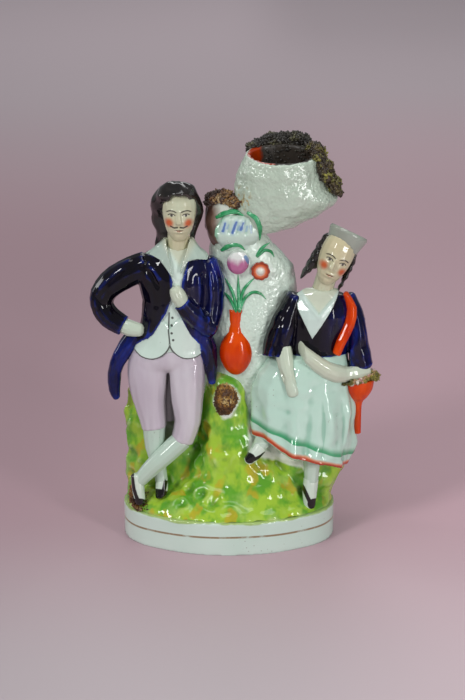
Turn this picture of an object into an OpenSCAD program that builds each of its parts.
// Spill vase: a flat-backed figure group in glazed earthenware.
// A man and a woman beside a tree trunk whose broken top is the cup for spills.
// Units are millimetres, +Z is up, +X is to the right seen from the front, and the front faces -Y.
// The origin is the centre of the oval foot, on the surface that the vase stands on.

/* [Plinth] */
// Length of the oval plinth
base_w = 152; // [140:1:180]
// Depth of the oval plinth, front to back
base_d = 96; // [90:1:120]
// Height of the plinth wall
base_h = 24; // [18:1:34]
// Radius of the two end arcs of the oval
base_end_r = 36; // [30:1:42]
// Thickness of the plinth wall and deck
plinth_wall = 6; // [4:0.5:9]
// Thickness of the slab that closes the underside
slab_t = 5; // [3:0.5:8]
// Height of the slab above the foot
slab_recess = 2; // [1:0.5:4]
// Diameter of the vent hole in the slab
vent_d = 7; // [4:0.5:12]

/* [Ground] */
// Inset of the grass from the edge of the plinth
grass_inset = 2; // [1:0.5:5]
// Rise of the low grass over the plinth
grass_h = 13; // [8:1:18]
// Height of the knoll in the middle
knoll_h = 98; // [85:1:106]
// Width of the knoll at half its height
knoll_w = 44; // [36:1:52]
// Height of the bank behind the man's legs
bank_h = 86; // [70:1:100]
// Height of the bank that the woman sits on
seat_h = 62; // [54:1:75]

/* [Tree trunk] */
// Width of the trunk at half its height
trunk_w = 66; // [58:1:76]
// Depth of the trunk
trunk_d = 37; // [32:1:46]
// Height of the trunk from the ground to its fork
trunk_h = 203; // [190:1:220]
// Width of the broken branch beside the cup
stub_w = 25; // [18:1:32]
// Height of the broken branch above the fork
stub_h = 18; // [10:1:28]

/* [Spill cup] */
// Width of the cup at its widest
cup_w = 72; // [62:1:82]
// Depth of the cup at its widest, front to back
cup_d = 42; // [36:1:50]
// Height of the cup above the fork, at the middle of its rim
cup_h = 50; // [42:1:62]
// Width of the rim outside
rim_w = 50; // [44:1:58]
// Depth of the rim outside, front to back
rim_d = 37; // [32:1:44]
// Thickness of the wall at the rim
cup_wall = 3.5; // [2.5:0.5:5]
// Depth of the hollow
cup_depth = 42; // [30:1:46]
// Tilt of the rim towards the front, in degrees
rim_tilt = 13; // [0:1:20]

/* [Flower bottle in relief] */
// Height of the bottle
bottle_h = 47; // [38:1:56]
// Diameter of its belly
belly_d = 23; // [18:1:28]
// Diameter of its neck
neck_d = 8; // [6:0.5:11]
// Diameter of the flower stems
stem_d = 2.6; // [1.8:0.2:4]
// Height of the tulip
tulip_h = 17; // [12:1:20]
// Diameter of the daisy
daisy_d = 13; // [10:0.5:16]
// Width of the leaves
leaf_w = 4.4; // [3:0.2:6]

/* [Standing man] */
// Height of the man from the ground to his crown
man_h = 236; // [225:1:248]
// Distance of the man to the left of the middle
man_x = 40; // [36:1:44]
// Thickness of the coat over the body
coat_t = 2; // [1:0.25:3]
// Thickness of the waistcoat flaps over the breeches
flap_t = 1.2; // [0.8:0.2:2]
// Width of the collar
collar_w = 47; // [40:1:54]

/* [Seated woman] */
// Height of the woman from the ground to the top of her head
woman_h = 200; // [188:1:212]
// Distance of the woman to the right of the middle
woman_x = 60; // [56:1:64]
// Number of folds in the skirt
skirt_folds = 11; // [7:1:15]
// Slope of the hem, in degrees
hem_tilt = 19; // [8:1:24]
// Thickness of the neckerchief over the bodice
fichu_t = 1.4; // [0.8:0.2:2.4]
// Width of the sash
sash_w = 9; // [6:0.5:12]
// Diameter of the hat at its flat top
hat_d = 28; // [24:0.5:34]
// Height of the hat
hat_h = 12.5; // [10:0.5:16]
// Tilt of the hat to the back, in degrees
hat_back = 12; // [0:1:18]

/* [Urn stand] */
// Height of the urn from the foot of its stem to the rim
urn_h = 41; // [34:1:48]
// Diameter of the bowl
urn_d = 22; // [18:0.5:28]
// Diameter of the stem
urn_stem_d = 5.2; // [4:0.2:8]

/* [Moss] */
// Thickness of the clay moss
moss_t = 9; // [6:0.5:12]

/* [Hidden] */
$fn = 64;

// Heights at which the figures were drawn, and the factors to the heights set above
man_drawn_h = 236;
woman_drawn_h = 200;
man_k = man_h / man_drawn_h;
woman_k = woman_h / woman_drawn_h;
half_w = base_w / 2;
half_d = base_d / 2;
reach = 400;
rim_z = trunk_h + cup_h;
rim_at = [trunk_w * 0.55, 4];

glaze_white = "#f1ece2";
glaze_mint = "#e6ebdc";
glaze_green = "#8fa53a";
glaze_cobalt = "#1c2350";
glaze_orange = "#d9762b";
glaze_lilac = "#a9a0b4";
glaze_moss = "#6d5b34";
glaze_skin = "#f0d9bf";
glaze_black = "#1a1716";
glaze_pink = "#b76a8e";

// Lofted forms.
// A form is drawn by hand as a few keys [x, y, z, half width, reach to the front, reach to the back],
// joined by a smooth curve. Sections stand square to the path, or level where level is set.
function mid_curve(a, b, c, d, t) =
  (2 * b + (c - a) * t + (2 * a - 5 * b + 4 * c - d) * t * t + (3 * b - a - 3 * c + d) * t * t * t) / 2;
function key(k, i) = k[max(0, min(len(k) - 1, i))];
function fair(k, steps) = concat(
  [for (i = [0 : len(k) - 2], s = [0 : steps - 1])
    mid_curve(key(k, i - 1), k[i], k[i + 1], key(k, i + 2), s / steps)],
  [k[len(k) - 1]]);
function place(q) = [q[0], q[1], q[2]];
function unit(v) = v / norm(v);
function heading(p, i) = unit(place(key(p, i + 1)) - place(key(p, i - 1)));
function across(t, level) = level ? [1, 0, 0] : unit([t.z, 0, -t.x]);
function section(q, t, level, sides, shrink, grow, wave, twist, lump) =
  let (w = across(t, level), d = level ? [0, 1, 0] : cross(t, w))
  [for (j = [0 : sides - 1])
    let (a = 360 * j / sides, r = shrink * (1 + wave[1] * cos(wave[0] * a)
                                              + lump * sin(3 * a + twist) * cos(2 * a - twist)))
    w * (q[3] + grow) * r * cos(a) + d * (q[sin(a) < 0 ? 4 : 5] + grow) * r * sin(a)];
function shifted(ring, v) = [for (p = ring) p + v];

module loft(keys, sides = 12, steps = 2, caps = [0, 0], level = false, grow = 0,
            folds = 0, fold = 0, lump = 0) {
  path = fair(keys, steps);
  last = len(path) - 1;
  first_dir = level ? [0, 0, 1] : heading(path, 0);
  last_dir = level ? [0, 0, 1] : heading(path, last);
  dome = [68, 36];
  start = [for (a = caps[0] > 0 ? dome : [])
    shifted(section(path[0], first_dir, level, sides, cos(a), grow, [folds, 0], a, lump),
            place(path[0]) - first_dir * caps[0] * sin(a))];
  body = [for (i = [0 : last])
    shifted(section(path[i], heading(path, i), level, sides, 1, grow, [folds, fold * i / last],
                    137 * i, lump), place(path[i]))];
  stop = [for (a = caps[1] > 0 ? [dome[1], dome[0]] : [])
    shifted(section(path[last], last_dir, level, sides, cos(a), grow, [folds, 0], a, lump),
            place(path[last]) + last_dir * caps[1] * sin(a))];
  rings = concat(start, body, stop);
  m = len(rings);
  tip = place(path[0]) - first_dir * caps[0] * sin(dome[0]);
  end = place(path[last]) + last_dir * caps[1] * sin(dome[0]);
  polyhedron(
    points = concat([tip], [for (r = rings) each r], [end]),
    faces = concat(
      [for (i = [0 : sides - 1]) [0, 1 + i, 1 + (i + 1) % sides]],
      [for (j = [0 : m - 2], i = [0 : sides - 1])
        let (a = 1 + j * sides, b = a + sides, n = (i + 1) % sides)
        each [[a + i, b + n, a + n], [a + i, b + i, b + n]]],
      [for (i = [0 : sides - 1])
        let (a = 1 + (m - 1) * sides)
        [a + (i + 1) % sides, a + i, m * sides + 1]]));
}

// Keys of each figure are drawn from the ground under it, then set in place at its own height
function on_ground(k) = [for (q = k) q + [0, 0, base_h, 0, 0, 0]];
function man_keys(k) = [for (q = k) q * man_k + [-man_x, 0, base_h, 0, 0, 0]];
function woman_keys(k) = [for (q = k) q * woman_k + [woman_x, 0, base_h, 0, 0, 0]];

// Plinth

module oval(inset = 0) {
  end_x = half_w - base_end_r;
  side_r = (end_x * end_x + half_d * half_d - base_end_r * base_end_r) / (2 * (half_d - base_end_r));
  meet_x = end_x + base_end_r * end_x / (side_r - base_end_r);
  for (s = [-1, 1]) translate([s * end_x, 0]) circle(base_end_r - inset);
  intersection() {
    translate([0, side_r - half_d]) circle(side_r - inset, $fn = 128);
    translate([0, half_d - side_r]) circle(side_r - inset, $fn = 128);
    square([2 * meet_x, base_d], center = true);
  }
}

module plinth_form() linear_extrude(base_h) oval();

module base_plinth() {
  color(glaze_white) difference() {
    plinth_form();
    translate([0, 0, -1]) linear_extrude(base_h - plinth_wall + 1) oval(plinth_wall);
  }
}

module base_slab() {
  color(glaze_white) translate([0, 0, slab_recess]) difference() {
    linear_extrude(slab_t) oval(plinth_wall);
    translate([0, 0, -1]) cylinder(d = vent_d, h = slab_t + 2);
  }
}

// Tree trunk

trunk_keys = let (w = trunk_w / 2, f = trunk_d * 0.52, b = trunk_d * 0.48) [
  [16, 15, 0, w * 1.1, f, b],
  [14, 15, trunk_h * 0.22, w * 1.06, f, b],
  [14, 14, trunk_h * 0.5, w, f, b],
  [15, 13, trunk_h * 0.72, w, f, b * 0.95],
  [15, 11, trunk_h * 0.85, w * 0.9, f * 0.9, b * 0.9],
  [9, 9, trunk_h * 0.93, w * 0.66, f * 0.76, b * 0.84],
  [5, 8, trunk_h, w * 0.52, f * 0.66, b * 0.76]];

function trunk_value(z, i) = lookup(z, [for (k = trunk_keys) [k[2], k[i]]]);
// Depth of the trunk's front face at a place on it
function bark(x, z) =
  let (s = (x - trunk_value(z, 0)) / trunk_value(z, 3))
  trunk_value(z, 1) - trunk_value(z, 4) * sqrt(max(0.04, 1 - s * s));

module trunk_form() loft(on_ground(trunk_keys), sides = 20, level = true, lump = 0.02);

module tree_trunk() { color(glaze_white) trunk_form(); }

stub_keys = [
  [-2, 7, trunk_h - 14, stub_w * 0.4, 9, 10],
  [-4, 6, trunk_h - 2, stub_w * 0.5, 10, 11],
  [-4, 6, trunk_h + stub_h * 0.6, stub_w * 0.48, 9.5, 10],
  [-3, 6, trunk_h + stub_h, stub_w * 0.44, 9, 9]];

module stub_form() loft(on_ground(stub_keys), sides = 14, level = true);

module branch_stub() {
  color(glaze_moss) difference() {
    stub_form();
    trunk_form();
  }
}

// Spill cup

cup_keys = let (w = cup_w / 2, d = cup_d / 2) [
  [15, 6, trunk_h - 5, w * 0.3, d * 0.5, d * 0.55],
  [rim_at.x - 9, 6, trunk_h, w * 0.57, d * 0.68, d * 0.68],
  [rim_at.x, 6, trunk_h + cup_h * 0.24, w * 0.9, d * 0.94, d * 0.94],
  [rim_at.x + 3.5, 6, trunk_h + cup_h * 0.38, w, d, d],
  [rim_at.x + 0.5, 6, trunk_h + cup_h * 0.56, w * 0.9, d, d],
  [rim_at.x - 1, 5, trunk_h + cup_h * 0.8, rim_w * 0.56, rim_d * 0.54, rim_d * 0.54],
  [rim_at.x, 4, rim_z, rim_w / 2, rim_d / 2, rim_d / 2],
  [rim_at.x, 4, rim_z + 10, rim_w / 2, rim_d / 2, rim_d / 2]];

hollow_keys = let (w = rim_w / 2 - cup_wall, d = rim_d / 2 - cup_wall) [
  [rim_at.x - 3, 5, rim_z - cup_depth, w * 0.5, d * 0.5, d * 0.5],
  [rim_at.x - 1, 5, rim_z - cup_depth * 0.75, w * 0.85, d * 0.85, d * 0.85],
  [rim_at.x, 4, rim_z - cup_depth * 0.35, w, d, d],
  [rim_at.x, 4, rim_z, w, d, d],
  [rim_at.x, 4, rim_z + 14, w, d, d]];

// Everything above the tilted rim
module above_rim() {
  translate([rim_at.x, rim_at.y, base_h + rim_z]) rotate([rim_tilt, 0, 0])
    translate([-reach / 2, -reach / 2, 0]) cube([reach, reach, reach / 2]);
}

module cup_form() {
  difference() {
    loft(on_ground(cup_keys), sides = 20, level = true);
    above_rim();
  }
}

module spill_cup() {
  color(glaze_white) difference() {
    cup_form();
    loft(on_ground(hollow_keys), sides = 18, level = true);
    trunk_form();
    stub_form();
  }
}

// Ground

grass_keys = let (w = half_w - grass_inset, d = half_d - grass_inset) [
  [0, 0, 0, w, d, d],
  [0, 0, grass_h * 0.3, w - 1, d - 3, d - 1],
  [0, 1, grass_h * 0.7, w - 7, d - 11, d - 5],
  [0, 3, grass_h, w - 18, d - 20, d - 14]];
knoll_keys = let (w = knoll_w / 2, f = half_d - 3) [
  [6, 5, 0, w * 2.7, f + 3, 20],
  [7, 5, knoll_h * 0.08, w * 2.5, f - 3, 20],
  [8, 5, knoll_h * 0.22, w * 2, f - 11, 20],
  [5, 5, knoll_h * 0.38, w * 1.4, f - 17, 19],
  [0, 5, knoll_h * 0.56, w * 0.95, 24, 18],
  [-2, 5, knoll_h * 0.77, w * 0.78, 21.5, 16],
  [-2, 5, knoll_h * 0.93, w * 0.56, 18, 13]];
bank_keys = let (left = half_w - grass_inset) [
  [38 - left, 8, 0, 38, 20, 24],
  [37 - left, 8, bank_h * 0.2, 37, 16, 23],
  [33 - left, 8, bank_h * 0.55, 33, 12, 19],
  [27 - left, 8, bank_h * 0.82, 27, 9, 15],
  [21 - left, 8, bank_h * 0.95, 19, 7, 11]];
seat_keys = let (right = half_w - grass_inset) [
  [right - 31, 6, 0, 30, 22, 26],
  [right - 28, 6, seat_h * 0.23, 33, 21, 26],
  [right - 24, 6, seat_h * 0.5, 34, 20, 25],
  [right - 23, 6, seat_h, 32, 18, 20]];

module grass_form() loft(on_ground(grass_keys), sides = 30, level = true, caps = [0, 1.5]);
module knoll_form()
  loft(on_ground(knoll_keys), sides = 20, level = true, caps = [0, knoll_h * 0.07], lump = 0.05);
module bank_form()
  loft(on_ground(bank_keys), sides = 16, level = true, caps = [0, bank_h * 0.05], lump = 0.04);
module seat_form() loft(on_ground(seat_keys), sides = 16, level = true, lump = 0.05);

module grass_mound() {
  color(glaze_green) difference() {
    union() {
      grass_form();
      knoll_form();
      bank_form();
      seat_form();
    }
    trunk_form();
    skirt_form();
  }
}

// Flower bottle and its flowers, in relief on the trunk

bottle_at = [5, bark(5, knoll_h + bottle_h * 0.4) - 2];
bottle_top = knoll_h + bottle_h;
bottle_side = let (r = belly_d / 2, n = neck_d / 2) [
  [r * 0.68, 0], [r * 0.95, bottle_h * 0.19], [r, bottle_h * 0.34], [r * 0.8, bottle_h * 0.55],
  [n * 1.15, bottle_h * 0.74], [n * 0.92, bottle_h * 0.88], [n, bottle_h]];
sprays = [
  [[5, 0], [5.5, 12], [6, 24]],
  [[6, 0], [9, 12], [17, 18], [21, 22]],
  [[4, 0], [1, 8], [-4, 11], [-6, 17]],
  [[6.5, 0], [13, 9], [21, 10], [26, 6]]];

// A spray's points, given from the bottle's mouth, laid on the bark
function laid(p, r) = [for (q = p) let (z = bottle_top + q[1]) [q[0], bark(q[0], z) - r * 0.6, z, r, r, r]];

module bottle_form() {
  translate([bottle_at.x, bottle_at.y, base_h + knoll_h])
    rotate_extrude() polygon(concat([[0, 0]], fair(bottle_side, 3), [[0, bottle_h]]));
}

module stems_form() {
  for (p = sprays) loft(on_ground(laid(p, stem_d / 2)), sides = 6, caps = [0, stem_d / 2]);
}

module flower_vase() {
  color(glaze_orange) difference() {
    bottle_form();
    trunk_form();
    knoll_form();
  }
}

module flower_stems() {
  color(glaze_green) difference() {
    stems_form();
    trunk_form();
    bottle_form();
    man_left_sleeve_form();
  }
}

tulip_z = bottle_top + 26;
tulip_keys = [
  [6, bark(6, tulip_z) - 1, tulip_z, 3.6, 3.4, 3.4],
  [6, bark(6, tulip_z + 6) - 2, tulip_z + tulip_h * 0.3, 7.2, 5, 4],
  [6, bark(6, tulip_z + 12) - 2, tulip_z + tulip_h * 0.65, 7.4, 4.8, 4],
  [6, bark(6, tulip_z + 16) - 2, tulip_z + tulip_h, 5.6, 4, 4]];

module tulip_form() loft(on_ground(tulip_keys), sides = 12, caps = [2, 1], folds = 3, fold = 0.1);

module tulip() {
  color(glaze_pink) difference() {
    tulip_form();
    stems_form();
    trunk_form();
  }
}

daisy_at = [22, bark(22, bottle_top + 28), bottle_top + 28];
daisy_petals = 9;

module daisy_form() {
  petal_r = daisy_d * 0.17;
  translate(daisy_at + [0, 0, base_h]) rotate([90, 0, 0]) {
    translate([0, 0, -3]) linear_extrude(5.2) {
      circle(d = daisy_d * 0.72);
      for (i = [1 : daisy_petals])
        rotate(360 * i / daisy_petals) translate([daisy_d / 2 - petal_r, 0]) circle(petal_r);
    }
    translate([0, 0, 1]) sphere(d = daisy_d * 0.4, $fn = 32);
  }
}

module daisy() {
  color(glaze_orange) difference() {
    daisy_form();
    stems_form();
    trunk_form();
    tulip_form();
  }
}

bloom_z = trunk_h - 15;
bloom_keys = [
  [6, bark(6, bloom_z), bloom_z, 10, 4, 4],
  [5.5, bark(6, bloom_z + 5), bloom_z + 6, 14, 4.5, 4],
  [5.5, bark(6, bloom_z + 12), bloom_z + 14, 15, 4.5, 5],
  [6, bark(6, trunk_h), bloom_z + 21, 12, 4, 5]];

module bloom_form()
  loft(on_ground(bloom_keys), sides = 15, level = true, caps = [2, 3], folds = 5, fold = 0.1);

module white_bloom() {
  color(glaze_white) difference() {
    bloom_form();
    trunk_form();
    stub_form();
    cup_form();
    tulip_form();
    daisy_form();
  }
}

// Leaves arch round the bloom: points from the middle of the bloom's foot
scrolls = [
  [[-9, 17], [-4, 23], [4, 25], [10, 22]],
  [[12, 24], [17, 18], [18, 9], [15, 2]],
  [[-10, 0], [-4, 5], [4, 6], [9, 2]]];

function leaf_keys(p) = [for (i = [0 : len(p) - 1])
  let (q = p[i], x = 8 + q[0], z = bloom_z + q[1], taper = i == 0 || i == len(p) - 1 ? 0.5 : 1)
  [x, bark(x, min(z, trunk_h)) - 3.5, z, leaf_w / 2 * taper, 2.2 * taper, 6]];

module leaves_form() {
  for (p = scrolls) loft(on_ground(leaf_keys(p)), sides = 6, caps = [1, 1]);
}

module leaf_scrolls() {
  color(glaze_green) difference() {
    leaves_form();
    trunk_form();
    bloom_form();
    stub_form();
    cup_form();
    tulip_form();
    daisy_form();
  }
}

// Clay moss

rim_back = rim_d / 2;
moss_back_keys = let (t = moss_t / 2) [
  [rim_at.x - rim_w * 0.42, 4 + rim_back * 0.62, rim_z + 2, t * 0.6, t * 0.6, t],
  [rim_at.x - rim_w * 0.2, 4 + rim_back * 0.98, rim_z + 6, t * 0.9, t * 0.7, t],
  [rim_at.x + rim_w * 0.1, 4 + rim_back * 1.1, rim_z + 7.5, t * 1.15, t * 0.8, t],
  [rim_at.x + rim_w * 0.36, 4 + rim_back * 0.84, rim_z + 4, t * 1.1, t * 0.7, t]];
moss_side_keys = let (t = moss_t / 2, w = cup_w / 2) [
  [rim_at.x + rim_w * 0.43, 11, rim_z + 4, t, t * 1.5, t * 1.6],
  [rim_at.x + rim_w * 0.53, 4, rim_z - 3, t, t * 2.2, t * 2.2],
  [rim_at.x + w * 0.87, 2, rim_z - cup_h * 0.25, t * 1.1, t * 2.4, t * 2.4],
  [rim_at.x + w * 1.02, 2, rim_z - cup_h * 0.45, t, t * 2, t * 2],
  [rim_at.x + w * 1.12, 3, rim_z - cup_h * 0.57, t * 0.6, t, t]];
stub_moss_keys = let (t = moss_t / 2, w = stub_w / 2, z = trunk_h + stub_h) [
  [-3 - w * 0.9, 4, z, t * 0.7, t * 1.4, t * 2],
  [-3, 3, z + 1.5, t * 1.1, t * 1.8, t * 2.2],
  [-3 + w, 2, z - 3, t * 0.8, t * 1.4, t * 2]];
knoll_moss_keys = let (y = 5 - 19.5, t = moss_t / 2) [
  [-3, y, knoll_h * 0.74, 6, t, t],
  [-2, y + 0.5, knoll_h * 0.83, 8.5, t * 1.2, t],
  [-3, y + 2.5, knoll_h * 0.92, 5, t, t]];
foot_moss_keys = let (t = moss_t / 2) [
  [-62, -22, 2, t, t, t],
  [-67, -19, 8, t * 0.9, t, t],
  [-68, -15, 15, t * 0.7, t * 0.8, t]];
// The moss lies on the urn's rim: keys from the middle of the rim
urn_at = [31.5, -9, 54];
urn_rim = urn_at * woman_k + [woman_x, 0, base_h + urn_h];
urn_moss_keys = let (t = moss_t / 2, w = urn_d / 2) [
  [-w * 1.1, -6, 0, t * 0.8, t * 1.2, t * 1.8],
  [-w * 0.4, -6, 1.5, t, t * 1.5, t * 2.4],
  [w * 0.3, -4, 2.5, t, t * 1.6, t * 2.4],
  [w * 0.9, -1, 2, t * 0.7, t * 1.4, t * 1.8]];

module moss_loft(keys) loft(keys, sides = 10, caps = [2, 2], lump = 0.16);

module moss_back_form() moss_loft(on_ground(moss_back_keys));

module cup_moss_back() {
  color(glaze_moss) difference() {
    moss_back_form();
    loft(on_ground(hollow_keys), sides = 18, level = true);
    cup_form();
  }
}

module cup_moss_side() {
  color(glaze_moss) difference() {
    moss_loft(on_ground(moss_side_keys));
    loft(on_ground(hollow_keys), sides = 18, level = true);
    cup_form();
    moss_back_form();
  }
}

module stub_moss() {
  color(glaze_moss) difference() {
    moss_loft(on_ground(stub_moss_keys));
    stub_form();
    cup_form();
    trunk_form();
    leaves_form();
    bloom_form();
  }
}

module knoll_moss() {
  color(glaze_moss) difference() {
    loft(on_ground(knoll_moss_keys), sides = 12, level = true, caps = [2, 2], lump = 0.1);
    knoll_form();
    bottle_form();
  }
}

module foot_moss() {
  color(glaze_moss) difference() {
    moss_loft(on_ground(foot_moss_keys));
    plinth_form();
    grass_form();
    bank_form();
    man_left_shoe_form();
    man_left_stocking_form();
  }
}

module urn_moss() {
  color(glaze_moss) difference() {
    translate(urn_rim) moss_loft(urn_moss_keys);
    urn_form();
    skirt_form();
    woman_left_sleeve_form();
    woman_left_forearm_form();
  }
}

// The man: breeches, and the body above them

waist_z = 118;
pelvis_keys = [
  [-3.5, -9, 101, 5, 7, 8],
  [-4, -9, 105, 25, 11.5, 12],
  [-3, -9, 111, 27, 13, 13],
  [-2, -9, waist_z, 25, 12.5, 12.5]];
right_thigh_keys = [
  [-16.5, -8.5, 113, 12.2, 11.5, 11.5],
  [-18, -9, 104, 13.4, 12, 12],
  [-18, -9.5, 93, 13, 12, 12],
  [-17, -10, 80, 11, 11, 11],
  [-14.5, -11, 67, 9.4, 9.5, 9.5],
  [-13.2, -12, 59, 8.6, 8.8, 8.8]];
left_thigh_keys = [
  [10.5, -8.5, 113, 11.6, 11.5, 11.5],
  [11, -9.5, 104, 12.3, 12, 12],
  [11, -11, 93, 12, 12, 12],
  [11, -13, 79, 10.6, 11, 11],
  [11.2, -15, 65, 8.8, 9.5, 9.5],
  [7, -16, 51, 8, 8.6, 8.6]];
// The mould leaves a web of clay behind the parting between the thighs
legs_web_keys = [
  [-3.5, -4, 62, 9, 4, 5],
  [-3.5, -4, 85, 9, 4, 5],
  [-3.5, -4, 108, 10, 5, 6]];
man_body_keys = [
  [-2, -9, waist_z, 24.5, 12.5, 12.5],
  [1, -9, 130, 22.2, 12, 12],
  [3, -9, 153, 20.5, 13, 12],
  [1.2, -8, 171, 23.4, 14, 12],
  [2, -7, 182, 22, 11.5, 11],
  [4, -6, 190, 14, 9, 9]];

module pelvis_form(grow = 0) loft(man_keys(pelvis_keys), sides = 16, level = true, grow = grow);
module man_body_form(grow = 0)
  loft(man_keys(man_body_keys), sides = 16, level = true, grow = grow, caps = [0, 2]);
module right_thigh_form() loft(man_keys(right_thigh_keys));
module left_thigh_form() loft(man_keys(left_thigh_keys));

module breeches_form() {
  pelvis_form();
  right_thigh_form();
  left_thigh_form();
  loft(man_keys(legs_web_keys), sides = 10, level = true);
}

module man_breeches() {
  color(glaze_lilac) difference() {
    breeches_form();
    bank_form();
    knoll_form();
  }
}

// A flat outline in the man's own front plane, pushed through to the front of his body
module man_stencil() {
  translate([-man_x, 0, base_h]) scale(man_k) translate([0, -9, 0]) rotate([90, 0, 0])
    linear_extrude(60) children();
}

module waistcoat_flaps() {
  intersection() {
    union() {
      pelvis_form(flap_t);
      man_body_form(flap_t);
    }
    man_stencil() for (x = [-15, 13]) translate([x, waist_z + 10]) circle(15);
  }
}

module man_waistcoat() {
  color(glaze_white) difference() {
    union() {
      man_body_form();
      waistcoat_flaps();
    }
    pelvis_form();
    right_thigh_form();
    left_thigh_form();
    trunk_form();
  }
}

coat_opening = [
  [-6, 192], [1.3, 170], [0, 156], [-4, 146], [-13, 131], [-30, 118],
  [24, 118], [13, 131], [6.3, 146], [7, 156], [8.2, 170], [15, 192]];

module coat_form() {
  difference() {
    man_body_form(coat_t);
    man_stencil() polygon(coat_opening);
    translate([-reach / 2, -reach / 2, base_h + 186 * man_k]) cube(reach);
  }
}

module man_coat() {
  color(glaze_cobalt) difference() {
    coat_form();
    man_body_form();
    waistcoat_flaps();
    pelvis_form();
    trunk_form();
  }
}

// The man's head, hair and collar

man_head_keys = [
  [6, -13, 199, 5.6, 5.6, 6],
  [6, -12.5, 204, 8.6, 9, 9],
  [6, -11.5, 211, 10.6, 11, 11],
  [6, -10.5, 219, 11.6, 11.8, 12],
  [6, -10, 225, 10.8, 11, 12],
  [5.5, -9, 229, 8.4, 8.6, 9.5]];
man_neck_keys = [
  [5, -7, 182, 8.6, 8, 8],
  [5, -8, 191, 7.6, 7.4, 7.4],
  [6, -9, 204, 7.6, 7.4, 7.4]];
man_nose_keys = [
  [6, -22.5, 211, 2.1, 1.6, 4],
  [6, -22.5, 213, 1.9, 1.6, 4],
  [6, -21.5, 219, 1.2, 1.2, 3]];
man_hair_keys = [
  [2, 0, 186, 12, 5, 8],
  [2.5, -1, 192, 13.4, 6, 9],
  [3.5, -1, 201, 14.2, 7, 10],
  [4, -1, 210, 17, 8, 11],
  [4, -3, 219, 18, 10.5, 11],
  [4, -7, 228, 14, 14.5, 11]];
collar_keys = [
  [3, -8, 173, collar_w * 0.55, 17.8, 13],
  [3, -8, 180, collar_w * 0.54, 15.6, 13],
  [4, -8, 186, collar_w * 0.45, 13.2, 11.5],
  [4.5, -8, 191, collar_w * 0.33, 11, 10],
  [5, -8, 197, 10, 9.4, 9.4]];
// Lower edge of the collar at the back, and what is cut from its front: the neck opening and below the two wings
collar_back_z = 184;
collar_cuts = [
  [[2.5, 168], [4.5, 168], [14.5, 202], [-4.5, 202]],
  [[-40, 160], [-40, 190], [-21, 190], [-14, 187], [-7, 184.5], [-2, 178], [2.5, 171], [2.5, 160]],
  [[4.5, 160], [4.5, 171], [8, 178], [12, 184], [18, 184.5], [25, 183], [28, 187], [45, 188], [45, 160]]];

module man_head_form() {
  loft(man_keys(man_head_keys), sides = 16, level = true, caps = [2.5, 3.5]);
  loft(man_keys(man_neck_keys), sides = 12, level = true);
  loft(man_keys(man_nose_keys), sides = 6, level = true, caps = [1, 1]);
}

module collar_form() {
  difference() {
    loft(man_keys(collar_keys), sides = 16, level = true);
    man_stencil() for (p = collar_cuts) polygon(p);
    translate([-man_x - reach / 2, -9 * man_k, base_h]) cube([reach, reach / 2, collar_back_z * man_k]);
  }
}

module man_head() {
  color(glaze_skin) difference() {
    man_head_form();
    man_body_form();
  }
}

module man_hair() {
  color(glaze_black) difference() {
    loft(man_keys(man_hair_keys), sides = 16, level = true, caps = [1.5, 8], lump = 0.05);
    man_head_form();
    collar_form();
    coat_form();
    man_body_form();
    stub_form();
  }
}

module man_collar() {
  color(glaze_white) difference() {
    collar_form();
    man_head_form();
    man_body_form();
    coat_form();
  }
}

// The man's arms

right_sleeve_keys = [
  [-17, -7, 177, 10, 10, 9.5],
  [-32, -7, 171, 10.2, 10, 9.8],
  [-45.5, -7, 160, 9.2, 9.4, 9.2],
  [-48.5, -8, 149.5, 8.2, 8.6, 8.4],
  [-43, -10, 140.5, 7.8, 8, 7.8],
  [-33.5, -12, 135, 7, 7, 7]];
right_hand_keys = [
  [-36, -11.5, 136, 5.2, 5.4, 5],
  [-29, -13.5, 133.5, 5.8, 5.2, 5],
  [-22, -16, 133, 4.6, 4, 5]];
left_upper_keys = [
  [25, -6, 179, 7.4, 8, 11],
  [28, -7, 168, 8, 8.5, 14],
  [28, -8, 148, 8.6, 9, 14],
  [25, -11, 134, 8, 9, 12]];
left_fore_keys = [
  [26, -12, 134, 7.4, 8, 8],
  [18, -18, 141, 7.2, 7, 8],
  [7.4, -23.5, 155, 6.2, 5.6, 6.5]];
left_hand_keys = [
  [8.5, -23, 153.5, 4.8, 4.6, 5],
  [5.4, -24, 159.5, 5.4, 5, 6],
  [3.6, -24, 164, 4.4, 4.2, 6]];

module man_right_sleeve_form() loft(man_keys(right_sleeve_keys), steps = 3, caps = [3, 0]);
module man_left_sleeve_form() {
  loft(man_keys(left_upper_keys), caps = [4, 6]);
  loft(man_keys(left_fore_keys), caps = [5, 0]);
}

module man_right_sleeve() {
  color(glaze_cobalt) difference() {
    man_right_sleeve_form();
    man_body_form(coat_t);
    collar_form();
  }
}

module man_right_hand() {
  color(glaze_skin) difference() {
    loft(man_keys(right_hand_keys), caps = [2, 3]);
    man_right_sleeve_form();
    coat_form();
    man_body_form();
    pelvis_form();
    waistcoat_flaps();
    man_right_tail_form();
  }
}

module man_left_sleeve() {
  color(glaze_cobalt) difference() {
    man_left_sleeve_form();
    man_body_form(coat_t);
    collar_form();
    trunk_form();
  }
}

module man_left_hand() {
  color(glaze_skin) difference() {
    loft(man_keys(left_hand_keys), caps = [2, 3]);
    man_left_sleeve_form();
    coat_form();
    man_body_form();
  }
}

// Coat tails

right_tail_keys = [
  [-25, -6, 127, 6.5, 8, 8],
  [-36, -6, 111, 5.6, 6.5, 8],
  [-41, -5, 98, 4.6, 5.5, 8],
  [-41.5, -4, 85, 3.6, 4.5, 8],
  [-40, -4, 79, 2.2, 3.5, 8]];
left_tail_keys = [
  [19, -9, 129, 8.4, 8.5, 9],
  [24, -9, 116, 7.4, 8, 10],
  [27, -10, 104, 5, 6, 8],
  [28, -11, 93, 2.4, 4, 7]];

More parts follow.
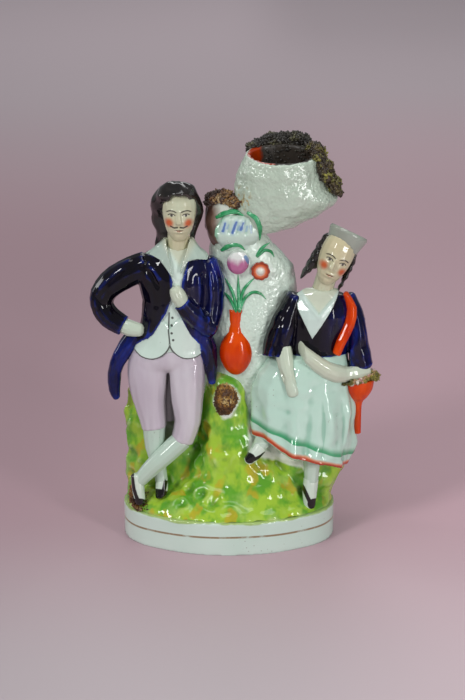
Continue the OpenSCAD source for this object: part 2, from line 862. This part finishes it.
module man_right_tail_form() loft(man_keys(right_tail_keys), caps = [2, 1]);
module man_left_tail_form() loft(man_keys(left_tail_keys), caps = [2, 1]);

module man_right_tail() {
  color(glaze_cobalt) difference() {
    man_right_tail_form();
    man_body_form(coat_t);
    breeches_form();
    waistcoat_flaps();
    bank_form();
  }
}

module man_left_tail() {
  color(glaze_cobalt) difference() {
    man_left_tail_form();
    man_body_form(coat_t);
    breeches_form();
    waistcoat_flaps();
    man_left_sleeve_form();
    trunk_form();
    knoll_form();
  }
}

// The man's legs below the knee: the left one crosses in front

right_stocking_keys = [
  [-13.2, -12, 60, 8, 8.2, 8.2],
  [-12.8, -13, 45, 6.8, 7, 7],
  [-10, -15, 31, 5, 5.4, 5.4],
  [-8, -17, 20, 4.4, 4.8, 4.8]];
left_stocking_keys = [
  [7, -16.5, 52, 7.4, 7.6, 7.6],
  [-6, -20, 40.5, 7, 7, 7],
  [-16, -21.5, 31, 6, 6, 6],
  [-24, -22, 22, 4.8, 5, 5]];
right_shoe_keys = [
  [-8, -16, 23, 4.4, 5, 5],
  [-8, -19, 14, 4.8, 4.6, 5.4],
  [-9, -22, 6, 4, 3.4, 5]];
left_shoe_keys = [
  [-25, -21.5, 26, 5, 5.2, 5.2],
  [-24.5, -23.5, 15, 4.8, 4.6, 5.4],
  [-23, -25, 5, 4, 3, 5]];

module man_right_stocking_form() loft(man_keys(right_stocking_keys));
module man_left_stocking_form() loft(man_keys(left_stocking_keys));
module man_left_shoe_form() loft(man_keys(left_shoe_keys), caps = [2, 3]);

module man_right_stocking() {
  color(glaze_white) difference() {
    man_right_stocking_form();
    right_thigh_form();
    bank_form();
    grass_form();
    man_left_stocking_form();
  }
}

module man_left_stocking() {
  color(glaze_white) difference() {
    man_left_stocking_form();
    left_thigh_form();
    right_thigh_form();
    bank_form();
    knoll_form();
    grass_form();
  }
}

module man_right_shoe() {
  color(glaze_black) difference() {
    loft(man_keys(right_shoe_keys), caps = [2, 3]);
    man_right_stocking_form();
    man_left_stocking_form();
    bank_form();
    grass_form();
  }
}

module man_left_shoe() {
  color(glaze_black) difference() {
    man_left_shoe_form();
    man_left_stocking_form();
    bank_form();
    grass_form();
  }
}

// The woman: skirt and bodice

lap_z = 114;
hem_z = 38;
skirt_keys = [
  [2, -4, lap_z, 22, 14, 12],
  [-5, -5, 107, 30, 20, 15],
  [-8, -6, 90, 36, 22, 18],
  [-7, -6, 71, 37.5, 23, 20],
  [-8.5, -6, 50, 35.5, 23, 20],
  [-11, -6, 16, 32.5, 22.5, 20]];
woman_body_keys = [
  [3, -6, lap_z, 22, 13, 12],
  [3, -7, 124, 21.5, 13, 12],
  [4, -7, 142, 21.5, 13.5, 12],
  [4, -6, 152, 21, 10.5, 11],
  [4, -5, 160, 12, 8.5, 8.5]];

// The loft is drawn upside down, so that the folds deepen from the waist to the hem
function hung(k) = [for (q = k) [q[0], q[1], -q[2], q[3], q[4], q[5]]];

module skirt_form() {
  difference() {
    mirror([0, 0, 1]) loft(hung(woman_keys(skirt_keys)), sides = 3 * skirt_folds, level = true,
                           folds = skirt_folds, fold = 0.05);
    translate([woman_x, 0, base_h + hem_z * woman_k]) rotate([0, hem_tilt, 0])
      translate([-reach / 2, -reach / 2, -reach]) cube(reach);
  }
}

module woman_body_form(grow = 0)
  loft(woman_keys(woman_body_keys), sides = 16, level = true, grow = grow, caps = [0, 2]);

module woman_skirt() {
  color(glaze_mint) difference() {
    skirt_form();
    trunk_form();
    knoll_form();
  }
}

module woman_bodice() {
  color(glaze_cobalt) difference() {
    woman_body_form();
    skirt_form();
    trunk_form();
  }
}

module fichu_form() {
  intersection() {
    woman_body_form(fichu_t);
    translate([woman_x, 0, base_h]) scale(woman_k) translate([0, -8, 0]) rotate([90, 0, 0])
      linear_extrude(60) polygon([[-15, 163], [-12, 148], [-2, 128], [12, 150], [18, 163]]);
  }
}

module woman_fichu() {
  color(glaze_white) difference() {
    fichu_form();
    woman_body_form();
    woman_head_form();
  }
}

// The woman's head leans to her left

woman_lean = 26;
woman_head_keys = [
  [7, -11, 168, 5.6, 5.8, 6],
  [9, -11.5, 173, 8.6, 9, 9],
  [12, -11, 180, 10.8, 11, 10.5],
  [15, -10.5, 187, 11.6, 11.6, 11],
  [17.6, -10, 193, 11, 11, 11],
  [19, -9, 196, 9.4, 9.4, 9.4]];
woman_neck_keys = [
  [3, -6, 152, 8.6, 8, 8],
  [6, -7, 162, 7.2, 7, 7],
  [9, -8, 174, 7.2, 7, 7]];
woman_nose_keys = [
  [12.5, -22, 185, 1.1, 1.1, 4],
  [10.8, -23, 181, 1.6, 1.5, 4],
  [10, -23, 179.5, 1.9, 1.5, 4]];
woman_hair_keys = [
  [9, -4, 174, 13, 5, 8],
  [13, -4, 184, 14.5, 7, 10],
  [16.5, -5, 191, 13.2, 9, 10],
  [18, -6, 194, 11, 9, 9]];
long_curl_keys = [
  [11, -6, 197, 3.8, 5, 6.5],
  [5, -6, 189, 4.6, 5.4, 7],
  [-0.5, -5.5, 181, 4.6, 5.4, 7],
  [-5.5, -5, 174.5, 4, 4.8, 6],
  [-9, -5, 170, 2.8, 3.6, 5]];
ringlet_keys = [
  [27, -7, 187, 3, 3.4, 5],
  [26.5, -7, 178, 3.4, 3.6, 5],
  [22.5, -7.5, 168.5, 3.2, 3.4, 5],
  [17, -8, 160, 2.4, 2.6, 4]];

module woman_head_form() {
  loft(woman_keys(woman_head_keys), sides = 16, caps = [2.5, 3]);
  loft(woman_keys(woman_neck_keys), sides = 12);
  loft(woman_keys(woman_nose_keys), sides = 6, caps = [1, 1]);
}

module woman_hair_form() {
  loft(woman_keys(woman_hair_keys), sides = 16, caps = [2, 3], lump = 0.05);
  loft(woman_keys(long_curl_keys), sides = 10, caps = [2, 3], lump = 0.1);
  loft(woman_keys(ringlet_keys), sides = 10, caps = [2, 2], lump = 0.1);
}

module woman_head() {
  color(glaze_skin) difference() {
    woman_head_form();
    woman_body_form();
  }
}

module woman_hair() {
  color(glaze_black) difference() {
    woman_hair_form();
    woman_head_form();
    woman_body_form(fichu_t);
    woman_hat_form();
    trunk_form();
  }
}

hat_at = [18, -8.5, 190];

module woman_hat_form() {
  translate(hat_at * woman_k + [woman_x, 0, base_h]) rotate([0, woman_lean, 0]) rotate([-hat_back, 0, 0])
    rotate_extrude() polygon([
      [0, 0], [hat_d * 0.4, 0], [hat_d * 0.43, hat_h * 0.3], [hat_d / 2, hat_h * 0.86],
      [hat_d * 0.47, hat_h], [0, hat_h * 0.92]]);
}

module woman_hat() {
  color(glaze_white) difference() {
    woman_hat_form();
    woman_head_form();
  }
}

// The woman's arms and sash

w_right_sleeve_keys = [
  [-14, -6, 154, 6, 8, 9],
  [-20, -8, 138, 9, 10, 11],
  [-25, -11, 122, 10, 10, 13],
  [-26, -13, 113, 10.2, 9, 14]];
w_right_forearm_keys = [
  [-22, -15, 120, 5.8, 5.8, 6],
  [-20, -20, 107, 5.8, 5.6, 6],
  [-17, -25.5, 98, 5, 5, 6],
  [-15, -28, 90, 4, 3.8, 5]];
w_left_sleeve_keys = [
  [23, -5, 154, 5.6, 8, 9],
  [29, -7, 137, 6.4, 8, 9],
  [31, -9, 120, 7, 8, 9],
  [35, -10, 105, 6.6, 7.5, 8.5]];
w_left_forearm_keys = [
  [37, -11, 102, 5, 5.2, 5],
  [21, -18, 101, 6.6, 6, 7],
  [8, -23.5, 106, 6, 5.4, 8],
  [-4, -24.5, 115.5, 4.8, 4.8, 8],
  [-11, -23, 122, 3.6, 3.8, 8]];
sash_keys = let (w = sash_w / 2) [
  [21, -12, 158, w * 0.5, 3, 5],
  [25.5, -14, 148, w * 0.95, 3, 6],
  [24, -16, 137, w, 3, 6],
  [18, -19, 125, w * 0.95, 3, 6],
  [15, -20, 117, w * 0.8, 3, 6]];

module woman_right_sleeve_form()
  loft(woman_keys(w_right_sleeve_keys), sides = 14, caps = [3, 0], folds = 6, fold = 0.04);
module woman_right_forearm_form() loft(woman_keys(w_right_forearm_keys), caps = [0, 2.5]);
module woman_left_sleeve_form() loft(woman_keys(w_left_sleeve_keys), sides = 14, caps = [3, 3]);
module woman_left_forearm_form() loft(woman_keys(w_left_forearm_keys), caps = [2, 3]);

module woman_right_sleeve() {
  color(glaze_cobalt) difference() {
    woman_right_sleeve_form();
    woman_body_form();
    fichu_form();
    skirt_form();
    trunk_form();
    bottle_form();
  }
}

module woman_right_forearm() {
  color(glaze_skin) difference() {
    woman_right_forearm_form();
    woman_right_sleeve_form();
    woman_body_form();
    skirt_form();
  }
}

module woman_left_sleeve() {
  color(glaze_cobalt) difference() {
    woman_left_sleeve_form();
    woman_body_form();
    fichu_form();
    skirt_form();
    urn_form();
  }
}

module woman_left_forearm() {
  color(glaze_skin) difference() {
    woman_left_forearm_form();
    woman_left_sleeve_form();
    woman_right_forearm_form();
    woman_right_sleeve_form();
    woman_body_form();
    skirt_form();
    urn_form();
  }
}

module woman_sash() {
  color(glaze_orange) difference() {
    loft(woman_keys(sash_keys), sides = 10, caps = [1.5, 1]);
    woman_body_form();
    fichu_form();
    woman_left_sleeve_form();
    woman_left_forearm_form();
    woman_hair_form();
    skirt_form();
  }
}

// The woman's feet below the hem

w_right_stocking_keys = [
  [-32, -20, 60, 5.8, 5.6, 6],
  [-37, -22.5, 51, 5.2, 5, 6],
  [-41, -25, 46, 4.4, 4.4, 5]];
w_right_shoe_keys = [
  [-38, -24, 49, 5, 4.8, 6],
  [-42, -26, 44, 4.6, 4.4, 7],
  [-46, -27, 40, 3.4, 3.2, 7]];
w_left_stocking_keys = [
  [-1, -20, 46, 7.4, 6.4, 8],
  [-1.2, -21, 33, 5.6, 5.4, 8],
  [-1.5, -23, 22, 4.8, 5, 6]];
w_left_shoe_keys = [
  [-1.5, -22.5, 24, 5.2, 5.2, 6],
  [-2.5, -24, 14, 5, 4.6, 6],
  [-2.5, -25, 5, 4, 3, 6]];

module w_right_stocking_form() loft(woman_keys(w_right_stocking_keys));
module w_left_stocking_form() loft(woman_keys(w_left_stocking_keys));

module woman_right_stocking() {
  color(glaze_white) difference() {
    w_right_stocking_form();
    skirt_form();
    knoll_form();
    seat_form();
  }
}

module woman_right_shoe() {
  color(glaze_black) difference() {
    loft(woman_keys(w_right_shoe_keys), caps = [1.5, 2.5]);
    w_right_stocking_form();
    skirt_form();
    knoll_form();
    seat_form();
  }
}

module woman_left_stocking() {
  color(glaze_white) difference() {
    w_left_stocking_form();
    skirt_form();
    seat_form();
    grass_form();
  }
}

module woman_left_shoe() {
  color(glaze_black) difference() {
    loft(woman_keys(w_left_shoe_keys), caps = [2, 3]);
    w_left_stocking_form();
    skirt_form();
    seat_form();
    grass_form();
  }
}

// Urn stand at the woman's elbow

urn_side = let (r = urn_d / 2, s = urn_stem_d / 2) [
  [s * 0.9, 0], [s * 0.9, urn_h * 0.3], [s * 1.1, urn_h * 0.56], [r * 0.6, urn_h * 0.68],
  [r * 0.9, urn_h * 0.82], [r, urn_h]];

module urn_form() {
  translate(urn_at * woman_k + [woman_x, 0, base_h])
    rotate_extrude() polygon(concat([[0, 0]], fair(urn_side, 3), [[0, urn_h]]));
}

module urn_stand() {
  color(glaze_orange) difference() {
    urn_form();
    skirt_form();
  }
}

base_plinth();
base_slab();
grass_mound();
tree_trunk();
branch_stub();
spill_cup();
flower_vase();
flower_stems();
tulip();
daisy();
white_bloom();
leaf_scrolls();
cup_moss_back();
cup_moss_side();
stub_moss();
knoll_moss();
foot_moss();
urn_moss();
man_breeches();
man_waistcoat();
man_coat();
man_head();
man_hair();
man_collar();
man_right_sleeve();
man_right_hand();
man_left_sleeve();
man_left_hand();
man_right_tail();
man_left_tail();
man_right_stocking();
man_left_stocking();
man_right_shoe();
man_left_shoe();
woman_skirt();
woman_bodice();
woman_fichu();
woman_head();
woman_hair();
woman_hat();
woman_right_sleeve();
woman_right_forearm();
woman_left_sleeve();
woman_left_forearm();
woman_sash();
woman_right_stocking();
woman_right_shoe();
woman_left_stocking();
woman_left_shoe();
urn_stand();
